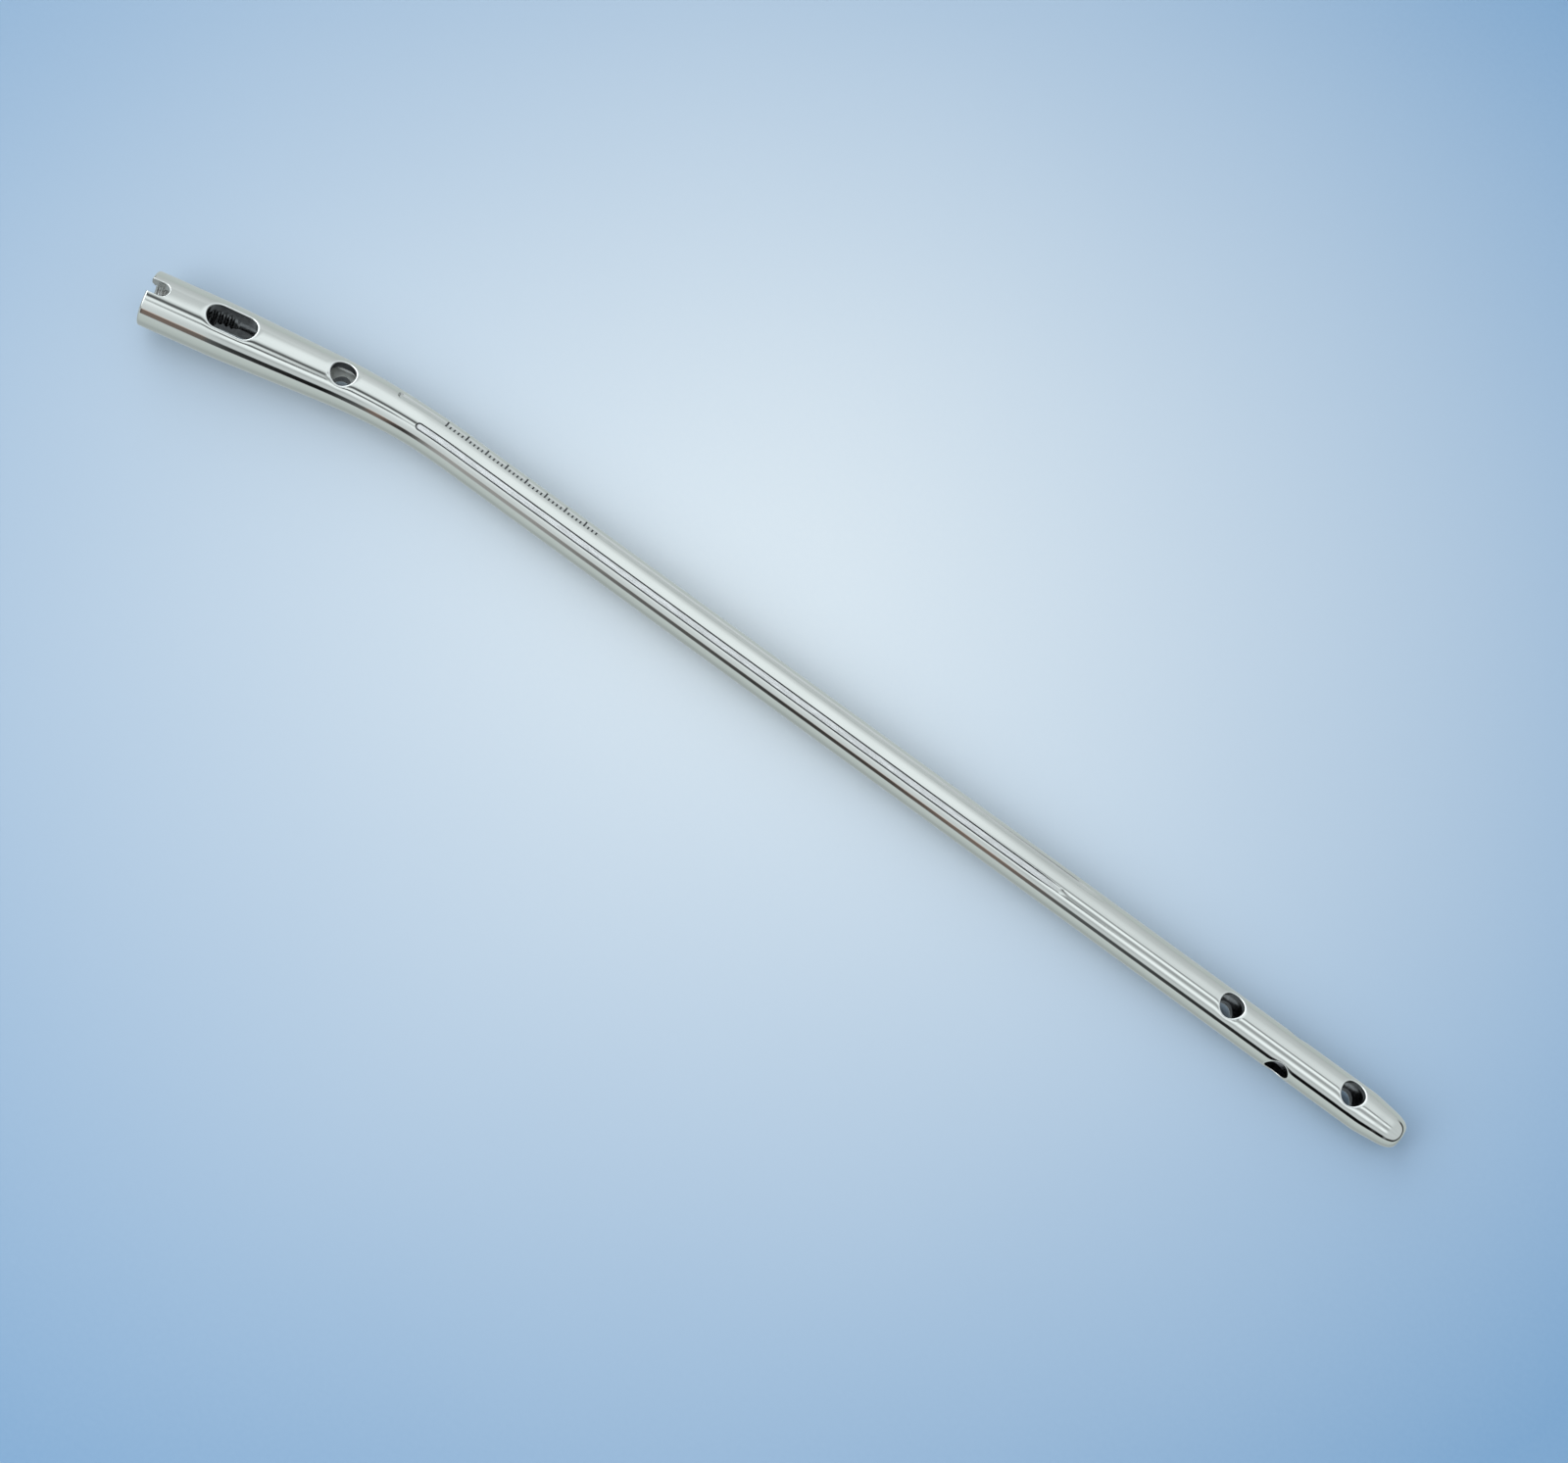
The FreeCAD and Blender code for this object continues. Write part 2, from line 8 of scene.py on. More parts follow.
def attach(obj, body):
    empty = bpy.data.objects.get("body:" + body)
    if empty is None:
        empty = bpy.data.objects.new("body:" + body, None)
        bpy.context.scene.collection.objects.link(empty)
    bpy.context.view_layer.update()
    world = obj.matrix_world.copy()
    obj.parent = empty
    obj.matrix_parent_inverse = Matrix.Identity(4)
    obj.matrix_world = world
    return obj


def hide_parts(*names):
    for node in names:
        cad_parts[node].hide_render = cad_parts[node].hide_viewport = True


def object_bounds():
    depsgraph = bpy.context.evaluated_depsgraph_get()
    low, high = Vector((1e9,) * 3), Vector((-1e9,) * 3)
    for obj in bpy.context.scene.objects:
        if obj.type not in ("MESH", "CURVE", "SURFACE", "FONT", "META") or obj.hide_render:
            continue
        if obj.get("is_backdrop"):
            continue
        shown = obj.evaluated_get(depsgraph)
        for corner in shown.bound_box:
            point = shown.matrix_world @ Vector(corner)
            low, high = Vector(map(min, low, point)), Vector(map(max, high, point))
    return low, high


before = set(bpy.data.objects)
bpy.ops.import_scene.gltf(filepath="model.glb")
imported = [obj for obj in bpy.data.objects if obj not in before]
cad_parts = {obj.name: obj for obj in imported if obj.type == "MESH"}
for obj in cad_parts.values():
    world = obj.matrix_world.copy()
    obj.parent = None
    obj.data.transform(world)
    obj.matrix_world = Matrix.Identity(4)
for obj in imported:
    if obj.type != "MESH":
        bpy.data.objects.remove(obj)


def corners(b):
    return [[float(x) for x in p] for p in b]


SIZE = {"cad": corners(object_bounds())}

# ------------------------------------------------------------------ the nail
# All lengths of the nail are in millimetres in its own straightened frame:
# u along the axis from the end face of the head (0) to the nose (310),
# s sideways in the plane of the bend, z square to that plane.
BEND = math.radians(13.4)
RB = 132.0
BS = 39.5
LA = RB * BEND
UT = BS + LA
LS = 239.63
TOT = UT + LS
SHAFT, HEAD = 4.5, 6.0
HEADLEN, TAPEREND = 17.0, 60.0
BORE = 3.1
THREADEND = 18.3
FLOOR_R = 4.2          # flute floor, from the axis
FLUTE_HALF = 0.73
WALL_FOOT, WALL_SLOPE = 0.58, 1.05
FLUTE_ANG = math.radians(26.0)


def axis(u):
    """Centre line point, direction and sideways direction at u (arrays)."""
    u = np.asarray(u, float)
    th = np.clip((UT - u) / RB, 0.0, BEND)
    d = np.maximum(BS - u, 0.0)
    x = np.where(u >= UT, u - UT, -RB * np.sin(th) - d * math.cos(BEND))
    y = np.where(u >= UT, 0.0, -RB * (1 - np.cos(th)) - d * math.sin(BEND))
    zero = np.zeros_like(x)
    P = np.stack([x, y, zero], -1)
    T = np.stack([np.cos(th), np.sin(th), zero], -1)
    N = np.stack([-np.sin(th), np.cos(th), zero], -1)
    return P, T, N


def unbend(x, y):
    """(u, s) of a point in the plane of the bend."""
    th = np.arctan2(-x, y + RB)
    P0, T0, N0 = axis(np.array(0.0))
    u_head = (x - P0[0]) * T0[0] + (y - P0[1]) * T0[1]
    s_head = (x - P0[0]) * N0[0] + (y - P0[1]) * N0[1]
    u = np.where(th <= 0, UT + x, np.where(th >= BEND, u_head, UT - RB * th))
    s = np.where(th <= 0, y, np.where(th >= BEND, s_head, np.hypot(x, y + RB) - RB))
    return u, s


def catmull(points, per):
    """A smooth line through points, with per steps between each two."""
    p = np.array(points, float)
    p = np.vstack([2 * p[0] - p[1], p, 2 * p[-1] - p[-2]])
    out = []
    for i in range(1, len(p) - 2):
        a, b, c, d = p[i - 1], p[i], p[i + 1], p[i + 2]
        ta = 0.0
        tb = ta + max(np.linalg.norm(b - a), 1e-9) ** 0.5
        tc = tb + max(np.linalg.norm(c - b), 1e-9) ** 0.5
        td = tc + max(np.linalg.norm(d - c), 1e-9) ** 0.5
        for k in range(per):
            t = tb + (tc - tb) * k / per
            a1 = (tb - t) / (tb - ta) * a + (t - ta) / (tb - ta) * b
            a2 = (tc - t) / (tc - tb) * b + (t - tb) / (tc - tb) * c
            a3 = (td - t) / (td - tc) * c + (t - tc) / (td - tc) * d
            b1 = (tc - t) / (tc - ta) * a1 + (t - ta) / (tc - ta) * a2
            b2 = (td - t) / (td - tb) * a2 + (t - tb) / (td - tb) * a3
            out.append((tc - t) / (tc - tb) * b1 + (t - tb) / (tc - tb) * b2)
    out.append(p[-2])
    return np.array(out)


NOSE = catmull([(TOT - 14, 4.5), (TOT - 11, 4.5), (TOT - 9.2, 4.49), (TOT - 7.2, 4.32), (TOT - 5.1, 4.05),
                (TOT - 3.1, 3.81), (TOT - 1.8, 3.53), (TOT - 0.95, 3.22), (TOT - 0.4, 2.87),
                (TOT - 0.06, 2.5), (TOT, 2.2)], 6)


def r_outer(u):
    """Radius of the outside, flutes and holes left out."""
    u = np.asarray(u, float)
    r = np.interp(u, [HEADLEN, TAPEREND], [HEAD, SHAFT])
    # soft joints at both ends of the taper
    k = (HEAD - SHAFT) / (TAPEREND - HEADLEN)
    for at, sign in ((HEADLEN, -1.0), (TAPEREND, 1.0)):
        w = 3.0
        q = np.clip(1 - np.abs(u - at) / w, 0, 1)
        r = r + sign * k * w * 0.25 * q * q
    r = np.where(u < 0.5, HEAD - 0.5 + np.sqrt(np.maximum(0.25 - (0.5 - u) ** 2, 0)), r)
    r = np.where(u > TOT - 11, np.interp(u, NOSE[:, 0], NOSE[:, 1]), r)
    return r


def smoothstep(x):
    x = np.clip(x, 0, 1)
    return x * x * (3 - 2 * x)


# flutes: (angle from +z towards +s, start along u, end of the full depth)
FLUTES = [(-FLUTE_ANG, UT - 9.3 + FLUTE_HALF, UT + 147.0), (FLUTE_ANG, UT - 15.7 + FLUTE_HALF, UT + 155.5),
          (math.pi + FLUTE_ANG, UT - 9.3 + FLUTE_HALF, UT + 147.0), (math.pi - FLUTE_ANG, UT - 15.7 + FLUTE_HALF, UT + 155.5)]
RUNOUT = 8.0


def fluted(u, phi, r):
    """Radius with the flutes cut in."""
    out = r
    for ang, start, end in FLUTES:
        d = (phi - ang + math.pi) % (2 * math.pi) - math.pi
        near = np.abs(d) < 0.6
        t = SHAFT * np.sin(np.clip(d, -0.7, 0.7))
        t = np.hypot(t, np.maximum(start - u, 0))
        floor = FLOOR_R / np.cos(np.clip(d, -0.7, 0.7)) + np.clip((u - end) / RUNOUT, 0, 4) * 0.32
        x = t - WALL_FOOT
        wall = floor + WALL_SLOPE * 0.5 * (x + np.sqrt(x * x + 0.0016)) - WALL_SLOPE * 0.0016 / (4 * WALL_FOOT)
        # smooth minimum of the two surfaces
        k = 0.03
        h = np.clip(0.5 + 0.5 * (out - wall) / k, 0, 1)
        cut = out * (1 - h) + wall * h - k * h * (1 - h)
        out = np.where(near, cut, out)
    return out


def r_bore(u, phi):
    """Radius of the bore with the thread's turns."""
    r = np.where(u < THREADEND, 3.5, np.where(u < THREADEND + 0.6, 3.5 - 0.4 * (u - THREADEND) / 0.6, BORE))
    x = (u / 1.25 + phi / (2 * math.pi)) % 1.0
    tri = np.abs(2 * x - 1)
    turn = np.clip((tri - 0.14) / 0.66, 0, 1)
    turn = turn * turn * (3 - 2 * turn) * 0.35 + turn * 0.65
    fade = np.clip((THREADEND - 0.2 - u) / 0.9, 0, 1)
    r = np.where(u < THREADEND, 3.46 + 0.58 * turn * fade, r)
    r = np.maximum(r, 4.15 - u)
    nose = TOT - 9.5 + 1
    r = np.where(u > nose, np.clip(BORE - (BORE - 1.9) * (u - nose) / 4.0, 1.9, BORE), r)
    return r


# Cutters: straight lines from A to B in the plane of the bend, cut through
# along z with a round section of radius r.  The fourth is cut along s.
P_SLOT, T_SLOT, _ = axis(np.array(18.15))
P_HOLE, _, _ = axis(np.array(42.8))
P_NOTCH, _, _ = axis(np.array(4.3 - 1.55))
P_OUT, _, _ = axis(np.array(-6.0))
CUTS = [
    dict(a=(P_SLOT - 2.75 * T_SLOT)[:2], b=(P_SLOT + 2.75 * T_SLOT)[:2], r=2.65, w=1.4, ap=False, f=0.28),
    dict(a=P_HOLE[:2], b=P_HOLE[:2], r=2.65, w=1.4, ap=False, f=0.28),
    dict(a=np.array([LS - 44.0, 0.0]), b=np.array([LS - 44.0, 0.0]), r=2.65, w=1.4, ap=False, f=0.28),
    dict(a=np.array([LS - 13.55, 0.0]), b=np.array([LS - 13.55, 0.0]), r=2.65, w=1.4, ap=False, f=0.28),
    dict(a=np.array([LS - 28.75, 0.0]), b=np.array([LS - 28.75, 0.0]), r=2.65, w=1.4, ap=True, f=0.28),
    dict(a=P_OUT[:2], b=P_NOTCH[:2], r=1.55, w=0.35, ap=False, f=0.18, notch=True),
]


def seg_dist(px, py, a, b):
    e = b - a
    L2 = float(e @ e)
    if L2 < 1e-12:
        return np.hypot(px - a[0], py - a[1])
    k = np.clip(((px - a[0]) * e[0] + (py - a[1]) * e[1]) / L2, 0, 1)
    return np.hypot(px - a[0] - k * e[0], py - a[1] - k * e[1])


def clear_of(p, u, outer):
    """How far a point is outside every cutter (and its rounded rim)."""
    h = np.full(p.shape[:-1], 1e3)
    for c in CUTS:
        q = p[..., 2] if c["ap"] else p[..., 1]
        d = seg_dist(p[..., 0], q, c["a"], c["b"]) - c["r"]
        if outer:
            w = c["w"]
            if c.get("notch"):
                w = w * smoothstep(u / 0.5)
            d = d - w
        h = np.minimum(h, d)
    return h


def place(u, s, z):
    P, T, N = axis(u)
    p = P + s[..., None] * N
    p[..., 2] += z
    return p


class Shell:
    """Vertices with their normals and straightened places, and faces."""

    def __init__(self):
        self.v, self.n, self.q, self.k, self.f = [], [], [], [], []
        self.count = 0

    def add(self, p, n, q, kind):
        """kind: how much each vertex is flute floor, flute wall, rim and
        inside (1 bore, 2 wall of a cross hole)."""
        p, n, q = (np.asarray(x, float).reshape(-1, 3) for x in (p, n, q))
        self.v.append(p)
        self.n.append(n)
        self.q.append(q)
        self.k.append(np.broadcast_to(np.reshape(np.asarray(kind, float), (-1, 4)), (len(p), 4)))
        first = self.count
        self.count += len(p)
        return first


shell = Shell()


def surface(v_u, v_r, v_du, v_dr, phi, kind):
    """Points, normals and straight places of a grid (profile by angle).
    kind: 'outer' or 'bore'.  v_* are arrays that broadcast with phi."""
    e = 1e-3
    if kind == "outer":
        r = fluted(v_u, phi, v_r)
        c = (fluted(v_u, phi + e, v_r) - fluted(v_u, phi - e, v_r)) / (2 * e)
        zone = (v_u > UT - 22) & (v_u < UT + 170)
        rise = (fluted(v_u + e, phi, v_r) - fluted(v_u - e, phi, v_r)) / (2 * e)
        steep = np.hypot(c / r, np.where(zone, rise, 0.0))
        depth = np.where(zone, v_r - r, 0.0)
        # the pair of flutes that starts further back gets a third of the flute weights: less painted shade on its
        # walls, less painted sheen and roughness on its floor
        pair_weight = np.where(np.sin(phi) * np.cos(phi) > 0, 0.32, 1.0)
        look = np.stack([pair_weight * np.clip(depth / 0.24, 0, 1), pair_weight * np.clip((steep - 0.15) / 0.4, 0, 1),
                         np.zeros_like(r), np.zeros_like(r)], -1)
        dr = np.where(zone, (fluted(v_u + e, phi, r_outer(v_u + e)) - fluted(v_u - e, phi, r_outer(v_u - e))) / (2 * e), v_dr)
        du = np.where(zone, 1.0, v_du)
    else:
        zone = (v_u > 0.2) & (v_u < TOT - 1.0)
        r = np.where(zone, r_bore(v_u, phi), v_r)
        c = np.where(zone, (r_bore(v_u, phi + e) - r_bore(v_u, phi - e)) / (2 * e), 0.0)
        dr = np.where(zone, -(r_bore(v_u + e, phi) - r_bore(v_u - e, phi)) / (2 * e), v_dr)
        du = np.where(zone, -1.0, v_du)
        look = np.stack([np.zeros_like(r), np.zeros_like(r), np.zeros_like(r), np.ones_like(r)], -1)
    s, z = r * np.sin(phi), r * np.cos(phi)
    P, T, N = axis(v_u)
    bent = (v_u > BS) & (v_u < UT)
    a = du * np.where(bent, 1 + s / RB, 1.0)
    p = P + s[..., None] * N
    p[..., 2] += z
    er = np.sin(phi)[..., None] * N
    er[..., 2] += np.cos(phi)
    ep = np.cos(phi)[..., None] * N
    ep[..., 2] -= np.sin(phi)
    n = (-dr * r)[..., None] * T + (-a * c)[..., None] * ep + (a * r)[..., None] * er
    n /= np.maximum(np.linalg.norm(n, axis=-1, keepdims=True), 1e-12)
    if kind == "bore":
        # burnished dish in the bore behind the round hole in the head
        k = 0.88 * smoothstep((v_u - 38.0) / 1.0) * smoothstep((47.6 - v_u) / 1.0)
        k = k[..., None]
        up = np.zeros_like(n)
        up[..., 2] = np.where(z < 0, 1.0, -1.0)
        n = n * (1 - k) + up * k
        n /= np.maximum(np.linalg.norm(n, axis=-1, keepdims=True), 1e-12)
    return p, n, np.stack([v_u, s, z], -1), look


def clipped_grid(prof_u, prof_r, phi, kind):
    """A grid over profile by angle, cut off cleanly where a cutter begins."""
    i = np.arange(len(prof_u))
    du = np.gradient(prof_u, i)
    dr = np.gradient(prof_r, i)

    def at(fi, ph):
        return surface(np.interp(fi, i, prof_u), np.interp(fi, i, prof_r),
                       np.interp(fi, i, du), np.interp(fi, i, dr), ph, kind)

    I, J = np.meshgrid(i.astype(float), phi, indexing="ij")
    p, n, q, look = at(I, J)
    h = clear_of(p, I * 0 + np.interp(I, i, prof_u), kind == "outer")
    base = shell.add(p, n, q, look)
    m = len(phi)

    def vid(a, b):
        return base + a * m + b

    keep = h >= 0
    cells = keep[:-1, :-1].astype(int) + keep[1:, :-1] + keep[1:, 1:] + keep[:-1, 1:]
    full = np.argwhere(cells == 4)
    for a, b in full:
        shell.f.append((vid(a, b), vid(a + 1, b), vid(a + 1, b + 1), vid(a, b + 1)))
    mixed = np.argwhere((cells > 0) & (cells < 4))
    # crossings on the edges between kept and cut vertices
    wanted = {}
    for a, b in mixed:
        ring = [(a, b), (a + 1, b), (a + 1, b + 1), (a, b + 1)]
        for k in range(4):
            x, y = ring[k], ring[(k + 1) % 4]
            if keep[x] != keep[y]:
                key = (min(x, y), max(x, y))
                wanted.setdefault(key, len(wanted))
    if wanted:
        keys = list(wanted)
        A = np.array([k[0] for k in keys])
        B = np.array([k[1] for k in keys])
        ha, hb = h[A[:, 0], A[:, 1]], h[B[:, 0], B[:, 1]]
        lo, hi = np.zeros(len(keys)), np.ones(len(keys))
        flo, fhi = ha.copy(), hb.copy()
        t = flo / (flo - fhi)
        for _ in range(6):
            fi = A[:, 0] + (B[:, 0] - A[:, 0]) * t
            ph = phi[A[:, 1]] + (phi[B[:, 1]] - phi[A[:, 1]]) * t
            pp, nn, qq, _ = at(fi, ph)
            hm = clear_of(pp, np.interp(fi, i, prof_u), kind == "outer")
            same = (hm > 0) == (flo > 0)
            lo, flo = np.where(same, t, lo), np.where(same, hm, flo)
            hi, fhi = np.where(same, hi, t), np.where(same, fhi, hm)
            den = np.where(np.abs(flo - fhi) < 1e-12, 1.0, flo - fhi)
            t = np.where(np.abs(flo - fhi) < 1e-12, (lo + hi) / 2, lo + (hi - lo) * np.clip(flo / den, 0.02, 0.98))
        fi = A[:, 0] + (B[:, 0] - A[:, 0]) * t
        ph = phi[A[:, 1]] + (phi[B[:, 1]] - phi[A[:, 1]]) * t
        pp, nn, qq, ll = at(fi, ph)
        cbase = shell.add(pp, nn, qq, ll)
        for a, b in mixed:
            ring = [(a, b), (a + 1, b), (a + 1, b + 1), (a, b + 1)]
            poly = []
            for k in range(4):
                x, y = ring[k], ring[(k + 1) % 4]
                if keep[x]:
                    poly.append(vid(*x))
                if keep[x] != keep[y]:
                    poly.append(cbase + wanted[(min(x, y), max(x, y))])
            if len(poly) >= 3:
                shell.f.append(tuple(poly))


def spread(*parts):
    """Join (from, to, step) runs into one increasing list."""
    out = []
    for a, b, step in parts:
        k = max(1, int(round((b - a) / step)))
        out.extend(a + (b - a) * np.arange(k) / k)
    out.append(parts[-1][1])
    return np.array(out)


# angles round the outside: fine at the edges of the flutes
marks = []
FINE = (2.5, 4.8, 5.8, 6.3, 6.7, 7.1, 7.8, 8.5, 9.2, 9.55, 9.85, 10.15, 10.5, 11.2, 12.2)
PLAIN = (3.2, 5.8, 6.7, 7.8, 8.9, 9.8, 10.6, 12.2)
for j, (ang, _, _) in enumerate(FLUTES):
    c = (ang + math.pi) % (2 * math.pi) - math.pi
    marks.append(c)
    for k in FINE if j < 2 else PLAIN:
        marks += [c + math.radians(k), c - math.radians(k)]
marks = sorted((m + math.pi) % (2 * math.pi) - math.pi for m in marks)
ends = [-math.pi] + marks + [math.pi]
PHI = []
for a, b in zip(ends[:-1], ends[1:]):
    k = max(1, int(math.ceil((b - a) / math.radians(3.1))))
    PHI.extend(a + (b - a) * np.arange(k) / k)
PHI.append(math.pi)
PHI = np.array(PHI)

# profile of the outside, from the inner edge of the end face to the nose
us = spread((0.5, 6.2, 0.32), (6.2, 10.6, 0.7), (10.6, 25.7, 0.42), (25.7, 38.0, 1.2), (38.0, 47.7, 0.42),
            (47.7, 54.2, 0.9), (54.2, 56.0, 0.11), (56.0, 60.5, 0.7), (60.5, 62.4, 0.11), (62.4, UT, 0.9),
            (UT, UT + 146.0, 4.3), (UT + 146.0, UT + 165.0, 1.2), (UT + 165.0, 261.3, 5.0),
            (261.3, 270.7, 0.42), (270.7, 276.2, 1.5), (276.2, 286.5, 0.42), (286.5, 291.8, 1.0), (291.8, 300.4, 0.42))
arc = np.linspace(0, math.pi / 2, 9)
face_r = [4.15, 4.28, 4.6, 5.0, 5.5]
face = [(0.0, r) for r in face_r[:-1]]
round_ = [(0.5 - 0.5 * math.cos(x), 5.5 + 0.5 * math.sin(x)) for x in arc]
body_ = [(u, float(r_outer(u))) for u in us[1:]]
nose_ = [tuple(p) for p in NOSE if p[0] > us[-1] + 0.1]
prof = np.array(face + round_ + body_ + nose_)
clipped_grid(prof[:, 0], prof[:, 1], PHI, "outer")

# profile of the bore, from the nose back to the mouth of the thread
PHIB = np.linspace(-math.pi, math.pi, 73)
ub = spread((0.65, THREADEND + 0.7, 0.125), (THREADEND + 0.7, 24.2, 0.45), (24.2, 39.4, 2.5), (39.4, 46.4, 0.4),
            (46.4, UT, 1.4), (UT, 262.6, 6.0), (262.6, 269.4, 0.4), (269.4, 277.8, 2.0), (277.8, 284.8, 0.4),
            (284.8, 293.0, 2.0), (293.0, 300.0, 0.4), (300.0, 301.63, 0.8), (301.63, 305.63, 0.8), (305.63, 309.4, 1.5))
tipin = [(TOT, 2.2), (TOT - 0.05, 2.05), (TOT - 0.16, 1.95), (TOT - 0.3, 1.905)]
bore_ = [(u, float(r_bore(np.array(u), np.array(0.0)))) for u in ub[::-1]]
cham = [(0.55, 3.6), (0.3, 3.85), (0.0, 4.15)]
prof = np.array(tipin + bore_ + cham)
clipped_grid(prof[:, 0], prof[:, 1], PHIB, "bore")


def loop(c, fine):
    """Centres and outward directions round a cutter's section."""
    a, b, r = c["a"], c["b"], c["r"]
    e = b - a
    length = float(np.linalg.norm(e))
    e = e / length if length > 1e-6 else np.array([1.0, 0.0])
    m = np.array([-e[1], e[0]])
    if c.get("notch"):
        P0, _, _ = axis(np.array(0.0))
        start = P0[:2]
        run = float((b - start) @ e)
        ks = np.concatenate([np.linspace(0, 0.5, 9)[:-1], spread((0.5, run, fine))]) / run
        cen = [start + (b - start) * k for k in ks[:-1]]
        nrm = [-m] * (len(ks) - 1)
        turn = np.linspace(-math.pi / 2, math.pi / 2, 33)
        cen += [b] * 33
        nrm += [math.cos(x) * e + math.sin(x) * m for x in turn]
        cen += [start + (b - start) * k for k in ks[-2::-1]]
        nrm += [m] * (len(ks) - 1)
        return np.array(cen), np.array(nrm), False
    half = 45
    turn = np.linspace(-math.pi / 2, math.pi / 2, half)
    cen = [b] * half
    nrm = [math.cos(x) * e + math.sin(x) * m for x in turn]
    if length > 1e-6:
        k = int(length / 0.1)
        cen += [b + (a - b) * j / k for j in range(1, k)]
        nrm += [m] * (k - 1)
    cen += [a] * half
    nrm += [-math.cos(x) * e - math.sin(x) * m for x in turn]
    if length > 1e-6:
        cen += [a + (b - a) * j / k for j in range(1, k)]
        nrm += [-m] * (k - 1)
    else:
        # the two half turns share their ends
        keep = [j for j in range(len(cen)) if j not in (half, 2 * half - 1)]
        cen = [cen[j] for j in keep]
        nrm = [nrm[j] for j in keep]
    return np.array(cen), np.array(nrm), True


SHOULDER = 0.085
for c in CUTS:
    cen, nrm, closed = loop(c, 0.3)
    W, f, r = c["w"], c["f"], c["r"]
    # offsets from the wall outwards: fine over the tight rounding
    angles = np.linspace(0, math.pi / 2, 7)
    near = f * (1 - np.cos(angles))
    far = f + (W - f) * (np.array([1, 2, 3, 4]) / 4.0)
    offs = np.concatenate([near, far])
    for sign in (1.0, -1.0):
        rows = []
        for k, w in enumerate(offs):
            ww = np.full(len(cen), w)
            squeeze = np.ones(len(cen))
            if c.get("notch"):
                u0, _ = unbend(cen[:, 0], cen[:, 1])
                on_side = np.abs((nrm * (c["b"] - c["a"])).sum(1)) < 1e-6
                squeeze = np.where(on_side, smoothstep(u0 / 0.5), 1.0)
                ww = ww * squeeze
            xy = cen + (r + ww)[:, None] * nrm
            u, s = unbend(xy[:, 0], xy[:, 1])
            u = np.maximum(u, 0.0)
            R = r_outer(u)
            z0 = np.sqrt(np.maximum(R * R - s * s, 1e-6))
            e = 1e-3
            dR = (r_outer(u + e) - r_outer(np.maximum(u - e, 0))) / (u + e - np.maximum(u - e, 0))
            _, T, N = axis(u)
            bent = (u > BS) & (u < UT)
            bp = dR / np.where(bent, 1 + s / RB, 1.0)
            cosf, sinf = z0 / R, s / R
            flat = (-bp[:, None] * T[:, :2] + sinf[:, None] * N[:, :2]) / cosf[:, None]
            if w < f - 1e-9:
                root = math.sqrt(max(f * f - (f - w) ** 2, 1e-9))
                g, gp = f - root, -(f - w) / root
            else:
                g, gp = 0.0, 0.0
            q = 1 - w / W
            g += SHOULDER * q ** 3
            gp += -3 * SHOULDER / W * q * q
            g, gp = g * squeeze, gp * squeeze
            n = np.concatenate([flat + np.reshape(gp, (-1, 1)) * nrm, np.ones((len(cen), 1))], 1)
            n /= np.linalg.norm(n, axis=1, keepdims=True)
            p = np.concatenate([xy, (z0 - g)[:, None]], 1)
            rows.append((p, n, np.stack([u, s, z0 - g], 1), (0, 0, 1.0 if w < f + 1e-6 else 0.0, 0)))
        # wall down to the bore
        ptop, _, qtop, _ = rows[0]
        u, s = qtop[:, 0], qtop[:, 1]
        zin = 1.6 * np.ones(len(cen))
        for _ in range(4):
            rb = r_bore(u, np.arctan2(s, zin))
            zin = np.sqrt(np.maximum(rb * rb - s * s, 1e-6))
        wall = []
        for k in range(1, 7):
            a = k / 6.0
            z = ptop[:, 2] * (1 - a) + zin * a
            p = np.concatenate([ptop[:, :2], z[:, None]], 1)
            n = np.concatenate([-nrm, np.zeros((len(cen), 1))], 1)
            wall.append((p, n, np.stack([u, s, z], 1), (0, 0, 0, 2)))
        grid = wall[::-1] + [(rows[0][0], np.concatenate([-nrm, np.zeros((len(cen), 1))], 1), rows[0][2], (0, 0, 0, 2))]
        for part in (grid, rows):
            first = []
            for p, n, q, look in part:
                p, n, q = p.copy(), n.copy(), q.copy()
                p[:, 2] *= sign
                n[:, 2] *= sign
                q[:, 2] *= sign
                if c["ap"]:
                    # turned a quarter about the shaft: (y, z) to (-z, y)
                    p = np.stack([p[:, 0], -p[:, 2], p[:, 1]], 1)
                    n = np.stack([n[:, 0], -n[:, 2], n[:, 1]], 1)
                    q = np.stack([q[:, 0], -q[:, 2], q[:, 1]], 1)
                first.append(shell.add(p, n, q, look))
            m = len(cen)
            for a, b in zip(first[:-1], first[1:]):
                for j in range(m if closed else m - 1):
                    k = (j + 1) % m
                    shell.f.append((a + j, a + k, b + k, b + j))

V = np.concatenate(shell.v)
NRM = np.concatenate(shell.n)
STR = np.concatenate(shell.q)
KIND = np.concatenate(shell.k)

# drop unused vertices and make each face's turn agree with its normals
used = np.zeros(len(V), bool)
for f in shell.f:
    used[list(f)] = True
new = np.cumsum(used) - 1
faces = []
for f in shell.f:
    ids = []
    for k in f:
        if not ids or np.abs(V[k] - V[ids[-1]]).max() > 1e-7:
            ids.append(k)
    if len(ids) > 1 and np.abs(V[ids[0]] - V[ids[-1]]).max() <= 1e-7:
        ids.pop()
    if len(ids) < 3:
        continue
    pts = V[ids]
    g = np.zeros(3)
    for k in range(1, len(ids) - 1):
        g += np.cross(pts[k] - pts[0], pts[k + 1] - pts[0])
    if np.linalg.norm(g) < 1e-9:
        continue
    if g @ NRM[ids].sum(0) < 0:
        ids = ids[::-1]
    faces.append([int(new[k]) for k in ids])
V, NRM, STR, KIND = V[used], NRM[used], STR[used], KIND[used]

